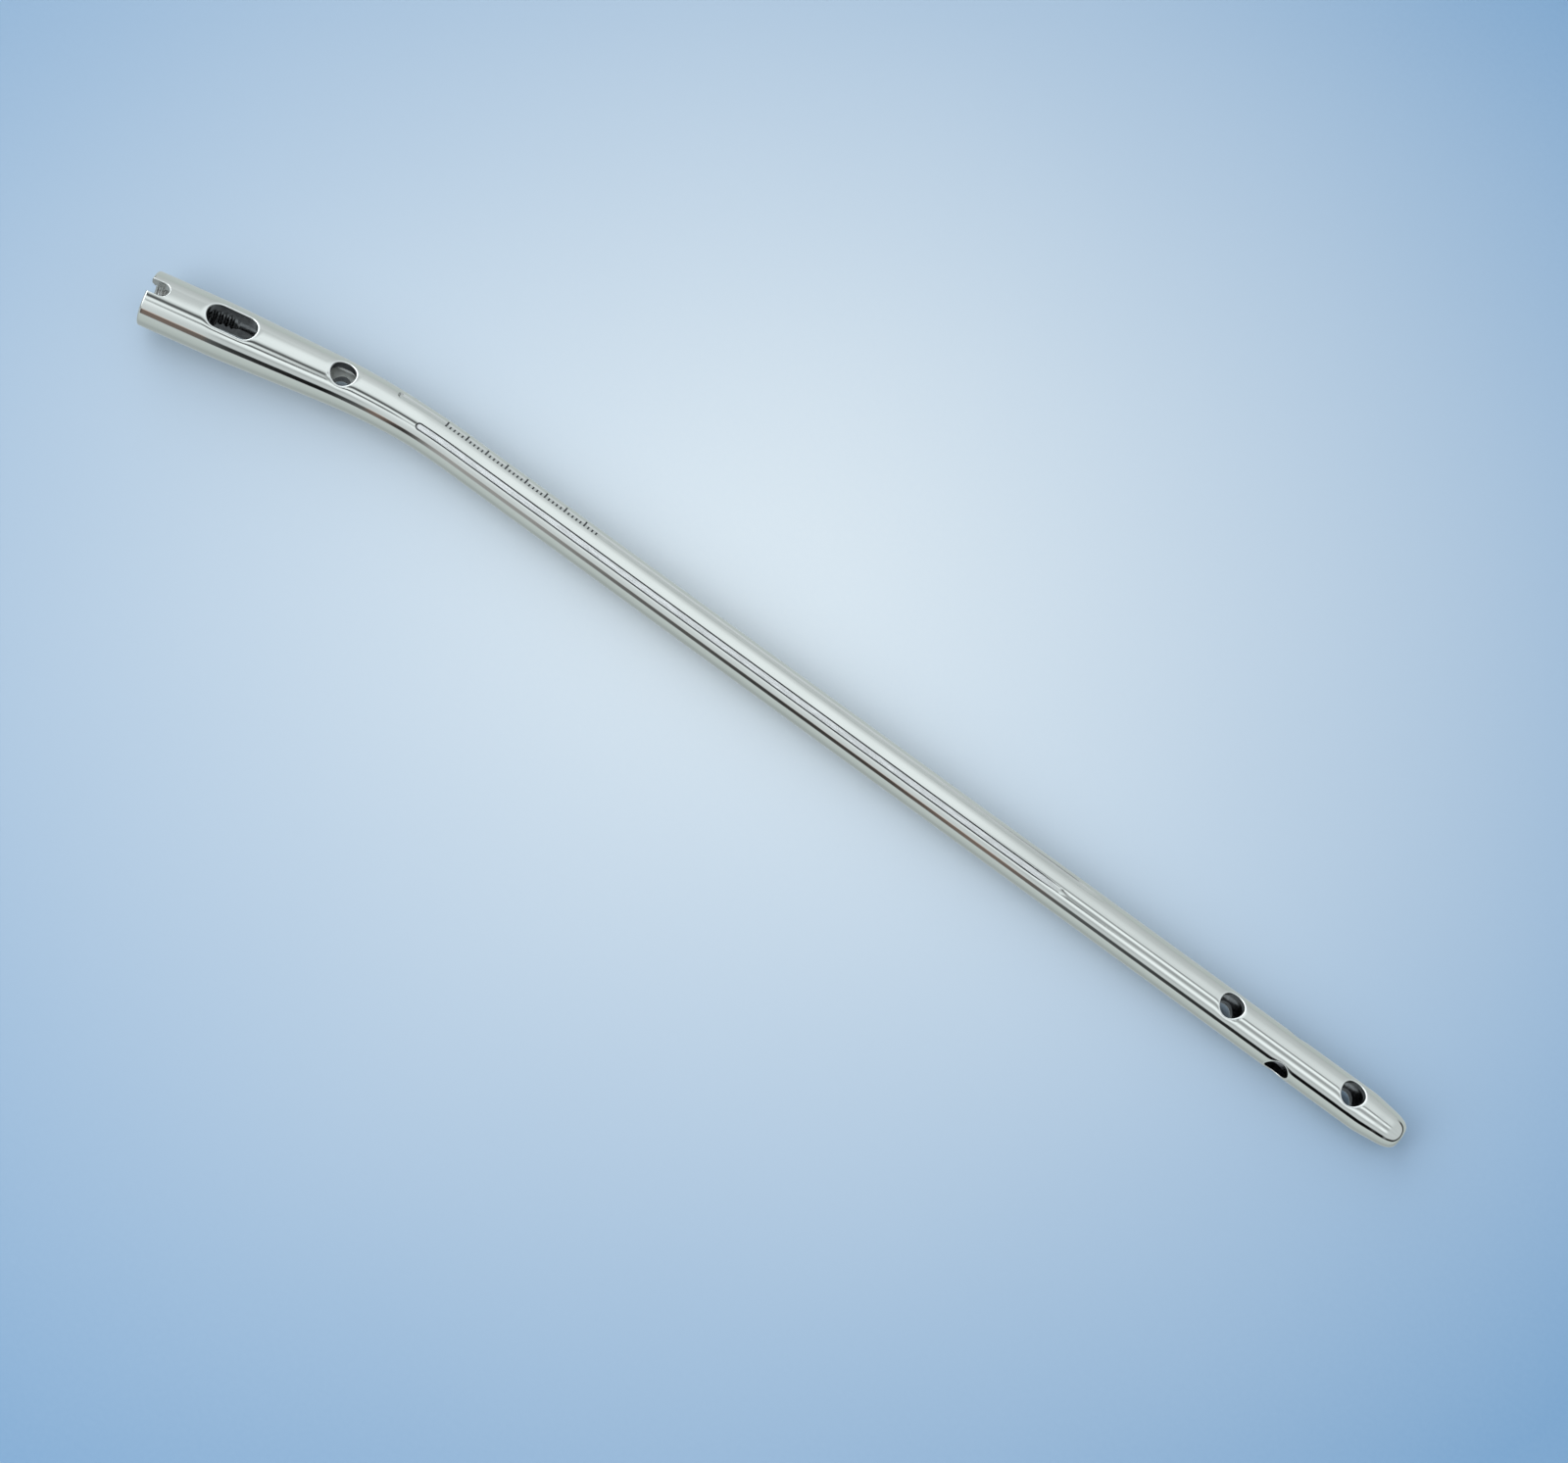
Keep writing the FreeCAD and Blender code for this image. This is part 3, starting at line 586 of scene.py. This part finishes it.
# from the nail's frame to the frame it lies in
PLACE = np.array([
    [0.999999897, -7.4863e-05, 0.000447475, -84.664043049],
    [0.0, 0.986292442, 0.165006725, 6.906500558],
    [-0.000453694, -0.165006709, 0.98629234, 4.606173572]])
W3 = (V @ PLACE[:, :3].T + PLACE[:, 3]) / 1000.0
N3 = NRM @ PLACE[:, :3].T
low, high = np.array(SIZE["cad"][0]), np.array(SIZE["cad"][1])
W3 = np.clip(W3, low, high)

mesh = bpy.data.meshes.new("nail")
mesh.from_pydata(W3.tolist(), [], faces)
mesh.update()
for poly in mesh.polygons:
    poly.use_smooth = True
co = mesh.attributes.new("nail", "FLOAT_VECTOR", "POINT")
co.data.foreach_set("vector", STR.astype(np.float32).ravel())
co = mesh.attributes.new("kind", "FLOAT_VECTOR", "POINT")
co.data.foreach_set("vector", KIND[:, :3].astype(np.float32).ravel())
co = mesh.attributes.new("inside", "FLOAT", "POINT")
co.data.foreach_set("value", KIND[:, 3].astype(np.float32).ravel())
mesh.normals_split_custom_set_from_vertices(N3.tolist())
nail = bpy.data.objects.new("nail", mesh)
bpy.context.scene.collection.objects.link(nail)
print("nail: %d triangles" % sum(len(f) - 2 for f in faces))


# ----------------------------------------------------------------- materials
def node_tools(tree):
    def add(kind, **set_):
        n = tree.nodes.new(kind)
        for k, v in set_.items():
            setattr(n, k, v)
        return n

    def link(a, b):
        tree.links.new(a, b)

    def math_(op, a, b=None, c=None, clamp=False):
        n = add("ShaderNodeMath", operation=op, use_clamp=clamp)
        for i, x in enumerate((a, b, c)):
            if x is None:
                continue
            if isinstance(x, (int, float)):
                n.inputs[i].default_value = x
            else:
                link(x, n.inputs[i])
        return n.outputs[0]

    def vec_scale(v, sx, sy, sz):
        n = add("ShaderNodeVectorMath", operation="MULTIPLY")
        link(v, n.inputs[0])
        n.inputs[1].default_value = (sx, sy, sz)
        return n.outputs[0]

    def noise(v, scale, detail=2.0, rough=0.5):
        n = add("ShaderNodeTexNoise")
        link(v, n.inputs["Vector"])
        n.inputs["Scale"].default_value = scale
        n.inputs["Detail"].default_value = detail
        n.inputs["Roughness"].default_value = rough
        return n.outputs[0]

    def span(x, a, b, c, d, smooth=False):
        n = add("ShaderNodeMapRange")
        if smooth:
            n.interpolation_type = "SMOOTHSTEP"
        n.inputs["From Min"].default_value = a
        n.inputs["From Max"].default_value = b
        n.inputs["To Min"].default_value = c
        n.inputs["To Max"].default_value = d
        link(x, n.inputs["Value"])
        return n.outputs[0]

    def mix(fac, a, b):
        n = add("ShaderNodeMix", data_type="RGBA")
        for sock, x in ((n.inputs[0], fac), (n.inputs[6], a), (n.inputs[7], b)):
            if isinstance(x, (int, float)):
                sock.default_value = x
            elif isinstance(x, tuple):
                sock.default_value = (*x, 1.0)
            else:
                link(x, sock)
        return n.outputs[2]

    return add, link, math_, vec_scale, noise, span, mix


steel = bpy.data.materials.new("surgical_steel")
steel.use_nodes = True
tree = steel.node_tree
tree.nodes.clear()
add, link, math_, vec_scale, noise, span, mix = node_tools(tree)
where = add("ShaderNodeAttribute", attribute_name="nail").outputs["Vector"]
xyz = add("ShaderNodeSeparateXYZ")
link(where, xyz.inputs[0])
U, S, Z = xyz.outputs
look = add("ShaderNodeSeparateXYZ")
link(add("ShaderNodeAttribute", attribute_name="kind").outputs["Vector"], look.inputs[0])
GROOVE, WALL, RIM = look.outputs
INSIDE = add("ShaderNodeAttribute", attribute_name="inside").outputs["Fac"]
bore = math_("GREATER_THAN", INSIDE, 0.5)
drilled = math_("GREATER_THAN", INSIDE, 1.5)
# fine lengthwise polishing marks, a few tenths of a millimetre apart
fine = noise(vec_scale(where, 0.12, 5.0, 5.0), 1.0, 4.0, 0.65)
hair = noise(vec_scale(where, 0.35, 16.0, 16.0), 1.0, 3.0, 0.6)
# soft unevenness of the hand-polished surface, over millimetres
cloud = noise(vec_scale(where, 0.10, 0.35, 0.35), 1.0, 3.0, 0.5)
# orange-peel grain of the electropolished surface
peel = noise(vec_scale(where, 2.2, 2.2, 2.2), 1.0, 3.0, 0.55)
# cutter marks on the floor of the flutes, drawn out along the nail
chatter = noise(vec_scale(where, 0.3, 6.5, 6.5), 1.0, 3.0, 0.7)
tone = mix(span(cloud, 0.35, 0.65, 0.0, 1.0), (0.658, 0.662, 0.603), (0.685, 0.686, 0.626))
tone = mix(span(fine, 0.3, 0.7, 0.0, 0.22), tone, (0.608, 0.609, 0.558))
# rim of each hole: painted highlight, a brighter colour for the bright ring round each hole; its roughness is raised
# below
tone = mix(math_("MULTIPLY", RIM, 0.9), tone, (0.79, 0.79, 0.74))
# floor of the flutes: milled cutter streaks, their colour raised towards white as a painted sheen; their walls are
# painted near-black as painted shade in the groove
milled_and_sheen = mix(span(chatter, 0.36, 0.64, 0.0, 1.0), (0.66, 0.655, 0.62), (0.92, 0.91, 0.865))
tone = mix(GROOVE, tone, milled_and_sheen)
# painted shade: the steep flute walls are painted near-black for the shade in the groove
tone = mix(math_("MULTIPLY", WALL, 0.95), tone, (0.05, 0.05, 0.052))
# inside: painted shade, the drilled walls painted near-black and the bore a dark grey, mottled at random
inside_mottle = noise(vec_scale(where, 1.4, 1.4, 1.4), 1.0, 3.0, 0.6)
bore_tone = mix(span(inside_mottle, 0.35, 0.65, 0.0, 1.0), (0.17, 0.17, 0.175), (0.30, 0.30, 0.30))
# painted light: the threaded bore is painted lighter near its mouth, darker deeper in
thread = span(U, 4.0, 18.5, 0.42, 0.24)
thread = mix(span(U, 18.3, 19.5, 0.0, 1.0), thread, bore_tone)
bore_tone = mix(span(U, 19.0, 20.0, 1.0, 0.0), bore_tone, thread)
# painted highlight: the bore behind the round hole in the head is painted near-white as a bright band
band_zone = math_("MULTIPLY", span(U, 37.6, 39.4, 0.0, 1.0, True), span(U, 46.4, 48.2, 1.0, 0.0, True))
bore_tone = mix(band_zone, bore_tone, (0.95, 0.95, 0.91))
walls = mix(span(inside_mottle, 0.35, 0.65, 0.0, 1.0), (0.045, 0.045, 0.048), (0.10, 0.10, 0.10))
tone = mix(bore, tone, bore_tone)
tone = mix(drilled, tone, walls)
# near the notch, open to the light, the inside is painted lighter: painted light
tone = mix(math_("MULTIPLY", bore, span(U, 4.6, 6.6, 0.75, 0.0, True)), tone, (0.62, 0.62, 0.59))

# etched scale: dark lines across the nail, one each millimetre
angle = math_("ARCTAN2", S, Z)
arc_mm = math_("MULTIPLY", angle, 4.5)
along = math_("SUBTRACT", U, 66.0)
cell = math_("SUBTRACT", math_("FRACT", math_("ADD", along, 0.5)), 0.5)
line = math_("LESS_THAN", math_("ABSOLUTE", cell), 0.19)
five = math_("SUBTRACT", math_("FRACT", math_("ADD", math_("DIVIDE", along, 5.0), 0.5)), 0.5)
is_five = math_("LESS_THAN", math_("ABSOLUTE", five), 0.05)
reach = math_("ADD", 2.45, math_("MULTIPLY", is_five, 0.75))
up_to = math_("LESS_THAN", arc_mm, reach)
from_ = math_("GREATER_THAN", arc_mm, 1.42)
base_line = math_("MULTIPLY", math_("GREATER_THAN", arc_mm, 1.28), math_("LESS_THAN", arc_mm, 1.46))
in_zone = math_("MULTIPLY", math_("GREATER_THAN", along, -0.2), math_("LESS_THAN", along, 38.2))
ticks = math_("MULTIPLY", math_("MULTIPLY", line, up_to), from_)
etched = math_("MULTIPLY", math_("MAXIMUM", ticks, base_line), in_zone)
outer_side = math_("GREATER_THAN", math_("ADD", math_("MULTIPLY", S, S), math_("MULTIPLY", Z, Z)), 16.0)
etched = math_("MULTIPLY", etched, outer_side)
etched = math_("MULTIPLY", etched, span(noise(vec_scale(where, 9.0, 9.0, 9.0), 1.0, 2.0), 0.25, 0.5, 0.72, 1.0))
colour = mix(etched, tone, (0.022, 0.022, 0.024))

rough = span(fine, 0.3, 0.7, 0.03, 0.065)
rough = math_("ADD", rough, span(cloud, 0.4, 0.65, 0.0, 0.012))
rough = math_("ADD", rough, math_("MULTIPLY", etched, 0.4))
rough = math_("ADD", rough, math_("MULTIPLY", RIM, 0.28))
rough = math_("ADD", rough, math_("MULTIPLY", GROOVE, span(chatter, 0.3, 0.7, 0.24, 0.36)))
# inside the bore the drilled surface is duller
rough = math_("ADD", rough, math_("MULTIPLY", bore, math_("ADD", 0.20, math_("MULTIPLY", band_zone, 0.18))))
height = math_("ADD", math_("MULTIPLY", fine, 0.5), math_("MULTIPLY", hair, 0.25))
height = math_("ADD", height, math_("MULTIPLY", peel, 0.35))
bump = add("ShaderNodeBump")
bump.inputs["Strength"].default_value = 0.07
bump.inputs["Distance"].default_value = 0.00004
link(height, bump.inputs["Height"])
shader = add("ShaderNodeBsdfPrincipled")
link(colour, shader.inputs["Base Color"])
link(rough, shader.inputs["Roughness"])
link(math_("SUBTRACT", 1.0, math_("MULTIPLY", etched, 0.6)), shader.inputs["Metallic"])
link(bump.outputs[0], shader.inputs["Normal"])
out = add("ShaderNodeOutputMaterial")
link(shader.outputs[0], out.inputs["Surface"])
nail.data.materials.append(steel)

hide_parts("tibial_nail")
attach(nail, "root")

# --------------------------------------------------------------------- floor
floor_mesh = bpy.data.meshes.new("floor")
F = 3.0
floor_mesh.from_pydata([(-F, -F, 0), (F, -F, 0), (F, F, 0), (-F, F, 0)], [], [(0, 1, 2, 3)])
floor_obj = bpy.data.objects.new("floor", floor_mesh)
floor_obj.location = (0, 0, -0.00005)
bpy.context.scene.collection.objects.link(floor_obj)
paper = bpy.data.materials.new("pale_blue_paper")
paper.use_nodes = True
tree = paper.node_tree
tree.nodes.clear()
add, link, math_, vec_scale, noise, span, mix = node_tools(tree)
PALE = (-0.020, 0.027)
CENTRE, CORNER = (0.555, 0.588, 0.598), (0.165, 0.285, 0.425)
spot = add("ShaderNodeTexCoord").outputs["Object"]
grain = noise(spot, 900.0, 4.0, 0.6)
wide = noise(spot, 6.0, 2.0, 0.5)
# painted pool of light: palest in the middle of the sheet, bluer towards its corners
away = add("ShaderNodeSeparateXYZ")
link(spot, away.inputs[0])
ax = math_("SUBTRACT", away.outputs[0], PALE[0])
ay = math_("SUBTRACT", away.outputs[1], PALE[1])
along_ = math_("ADD", math_("MULTIPLY", ax, 0.809), math_("MULTIPLY", ay, 0.588))
across = math_("SUBTRACT", math_("MULTIPLY", ax, 0.588), math_("MULTIPLY", ay, 0.809))
across = math_("MULTIPLY", across, 1.15)
radius = math_("SQRT", math_("ADD", math_("ADD", math_("MULTIPLY", along_, along_), math_("MULTIPLY", across, across)), 0.0012))
light_falloff = span(radius, 0.035, 0.262, 0.0, 1.0)
light_falloff = math_("ADD", light_falloff, span(wide, 0.3, 0.7, -0.02, 0.02), clamp=True)
tone = mix(light_falloff, CENTRE, CORNER)
# far out it turns slowly to a paler, greyer blue, in the same painted light falloff
tone = mix(span(radius, 0.25, 0.85, 0.0, 1.0, True), tone, (0.50, 0.58, 0.60))
tone = mix(span(grain, 0.3, 0.7, 0.0, 0.05), tone, (0.36, 0.46, 0.56))
shader = add("ShaderNodeBsdfPrincipled")
link(tone, shader.inputs["Base Color"])
shader.inputs["Roughness"].default_value = 0.9
shader.inputs["Specular IOR Level"].default_value = 0.2
out = add("ShaderNodeOutputMaterial")
link(shader.outputs[0], out.inputs["Surface"])
floor_mesh.materials.append(paper)
# the steel mirrors the pale bench round the tent (the world's lower half),
# not the blue sheet
floor_obj.visible_glossy = False
floor_obj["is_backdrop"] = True

# --------------------------------------------------------------------- light
# A soft light tent: bright overhead, with darker gaps where the camera and
# the room's side openings are.  Angle from straight up towards +Y.
world = bpy.data.worlds.new("tent")
bpy.context.scene.world = world
world.use_nodes = True
tree = world.node_tree
tree.nodes.clear()
add, link, math_, vec_scale, noise, span, mix = node_tools(tree)
ray = add("ShaderNodeTexCoord").outputs["Generated"]
xyz = add("ShaderNodeSeparateXYZ")
link(ray, xyz.inputs[0])
DX, DY, DZ = xyz.outputs
psi = math_("MULTIPLY", math_("ARCTAN2", DY, DZ), 180 / math.pi)
place01 = span(psi, -180.0, 180.0, 0.0, 1.0)


def shade(stops):
    """A ramp of brightness over the angle; stops are (degrees, how bright
    the steel looks there, 0 to 255)."""
    ramp = add("ShaderNodeValToRGB")
    link(place01, ramp.inputs[0])
    el = ramp.color_ramp.elements
    while len(el) > 1:
        el.remove(el[-1])
    for k, (deg, lum) in enumerate(stops):
        e = el[0] if k == 0 else el.new((deg + 180) / 360)
        e.position = (deg + 180) / 360
        v = (lum / 255.0 + 0.055) / 1.055
        v = v ** 2.4 / 0.67 / 2.0
        e.color = (v, v, v, 1)
    return ramp.outputs[0]


# left of the middle (towards the head) and right of it (towards the nose)
LEFT = [(-142, 160), (-122, 180), (-97, 190), (-91, 182), (-62, 200), (-55, 203), (-46, 212), (-41, 224), (-37, 232), (-33, 228), (-27, 230),
        (-22, 236), (-18, 230), (-16, 180), (-13.5, 88), (-8, 86), (-5, 150), (-2, 205), (5, 230),
        (22, 233), (31, 232), (40, 230), (47, 220), (56, 206), (65, 195), (78, 187), (90, 180), (104, 184), (120, 183), (180, 165)]
RIGHT = [(-142, 160), (-122, 180), (-97, 192), (-91, 192), (-65, 194), (-57, 190), (-51, 172),
         (-47, 196), (-43, 232), (-37, 246), (-32, 236), (-28, 205), (-24, 168), (-19, 154), (-14, 160), (-11, 190),
         (-8, 232), (-4, 248), (0, 238), (3, 190), (5, 138), (8, 140), (11, 196), (15, 212), (30, 213), (43, 207),
         (55, 193), (75, 184), (90, 176), (104, 182), (120, 178), (180, 165)]
side = span(DX, 0.035, 0.10, 0.0, 1.0, True)
grey = mix(side, shade(LEFT), shade(RIGHT))
# the roof is dimmer far out over the head
over = math_("MULTIPLY", span(psi, 2.0, 14.0, 0.0, 1.0, True), span(psi, 50.0, 62.0, 1.0, 0.0, True))
over = math_("MULTIPLY", over, span(DX, -0.27, -0.14, 0.85, 0.0, True))
grey = mix(over, grey, (0.37, 0.37, 0.37))
# a thin dark bar of the tent's frame, on the head's side
bar = math_("MULTIPLY", span(psi, -34.5, -31.0, 0.0, 1.0, True), span(psi, -27.5, -24.0, 1.0, 0.0, True))
bar = math_("MULTIPLY", bar, span(DX, 0.095, 0.125, 1.0, 0.0, True))
bar = math_("MULTIPLY", bar, span(DX, -0.03, 0.01, 0.4, 1.0))
grey = mix(bar, grey, (0.092, 0.092, 0.092))
# the dark gap low in front, just above the floor
gap = math_("MULTIPLY", span(psi, -93.0, -88.5, 0.0, 1.0, True), span(psi, -73.0, -67.5, 1.0, 0.0, True))
depth = add("ShaderNodeValToRGB")
link(span(DX, -0.2, 0.2, 0.0, 1.0), depth.inputs[0])
DEPTH = [(-0.17, 150), (-0.13, 142), (-0.09, 95), (-0.03, 52), (0.02, 60), (0.06, 104), (0.09, 84), (0.12, 70),
         (0.15, 50), (0.17, 28), (0.19, 12)]
el = depth.color_ramp.elements
while len(el) > 1:
    el.remove(el[-1])
for k, (x, lum) in enumerate(DEPTH):
    e = el[0] if k == 0 else el.new((x + 0.2) / 0.4)
    e.position = (x + 0.2) / 0.4
    v = ((lum / 255.0 + 0.055) / 1.055) ** 2.4 / 0.67 / 2.0
    e.color = (v, v, v, 1)
grey = mix(gap, grey, depth.outputs[0])
# the tent's long sides: brighter panels beyond the ends of the nail, and a
# dark room under them, low down
ends_ = span(math_("ABSOLUTE", DX), 0.42, 0.55, 0.0, 1.0, True)
ends_ = math_("MULTIPLY", ends_, span(DZ, -0.03, 0.02, 0.0, 1.0, True))
panel = mix(math_("GREATER_THAN", DX, 0.0), (1.45, 1.45, 1.45), (0.40, 0.40, 0.40))
grey = mix(math_("MULTIPLY", ends_, 0.95), grey, panel)
low_ = math_("MULTIPLY", span(DZ, 0.20, 0.27, 1.0, 0.0, True), ends_)
grey = mix(math_("MULTIPLY", low_, 0.97), grey, (0.012, 0.011, 0.010))
# the dark gap low in front is brown towards the head
brown = math_("MULTIPLY", span(psi, -92.0, -86.0, 0.0, 1.0, True), span(psi, -72.0, -66.0, 1.0, 0.0, True))
brown = math_("MULTIPLY", brown, span(DX, 0.07, 0.095, 1.0, 0.0, True))
brown = math_("MULTIPLY", brown, span(DX, -0.03, 0.05, 0.22, 1.0))
below = math_("MAXIMUM", span(psi, -97.0, -91.0, 1.0, 0.0, True), span(psi, 80.0, 96.0, 0.0, 1.0, True))
tint = mix(below, (0.916, 1.0, 1.087), (0.885, 1.0, 1.05))
tint = mix(brown, tint, (1.25, 0.98, 0.90))
product = add("ShaderNodeMix", data_type="RGBA", blend_type="MULTIPLY")
product.inputs[0].default_value = 1.0
link(grey, product.inputs[6])
link(tint, product.inputs[7])
back = add("ShaderNodeBackground")
link(product.outputs[2], back.inputs[0])
back.inputs[1].default_value = 2.0
wout = add("ShaderNodeOutputWorld")
link(back.outputs[0], wout.inputs[0])

# a broad soft lamp in front of the nail's left side fills in the floor; it
# is left out of the reflections in the steel
soft = bpy.data.lights.new("soft_front", "AREA")
soft.shape = "DISK"
soft.size = 0.9
soft.energy = 5.0
soft.color = (0.97, 1.0, 1.03)
soft_obj = bpy.data.objects.new("soft_front", soft)
soft_obj.location = (-0.55, -0.85, 0.80)
soft_obj.rotation_euler = (Vector((0.0, 0.0, 0.0)) - soft_obj.location).to_track_quat("-Z", "Y").to_euler()
soft_obj.visible_glossy = False
soft_obj.visible_camera = False
bpy.context.scene.collection.objects.link(soft_obj)

# -------------------------------------------------------------------- camera
cam = bpy.data.cameras.new("camera")
cam.sensor_width = 36.0
cam.sensor_fit = "HORIZONTAL"
cam.lens = 2957.1 / 1600.0 * 36.0
cam.clip_start = 0.01
cam.clip_end = 20.0
cam_obj = bpy.data.objects.new("camera", cam)
right = Vector((0.8086778, 0.5707828, 0.1422926))
down = Vector((0.5879946, -0.7771682, -0.224214))
ahead = Vector((-0.0173922, 0.2649841, -0.9640959))
m = Matrix.Identity(4)
for k in range(3):
    m[k][0], m[k][1], m[k][2] = right[k], -down[k], -ahead[k]
m.translation = Vector((0.0143962, -0.1579456, 0.5782453))
cam_obj.matrix_world = m
bpy.context.scene.collection.objects.link(cam_obj)
bpy.context.scene.camera = cam_obj
bpy.context.scene.view_settings.view_transform = "Standard"

SIZE["visual"] = corners(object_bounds())
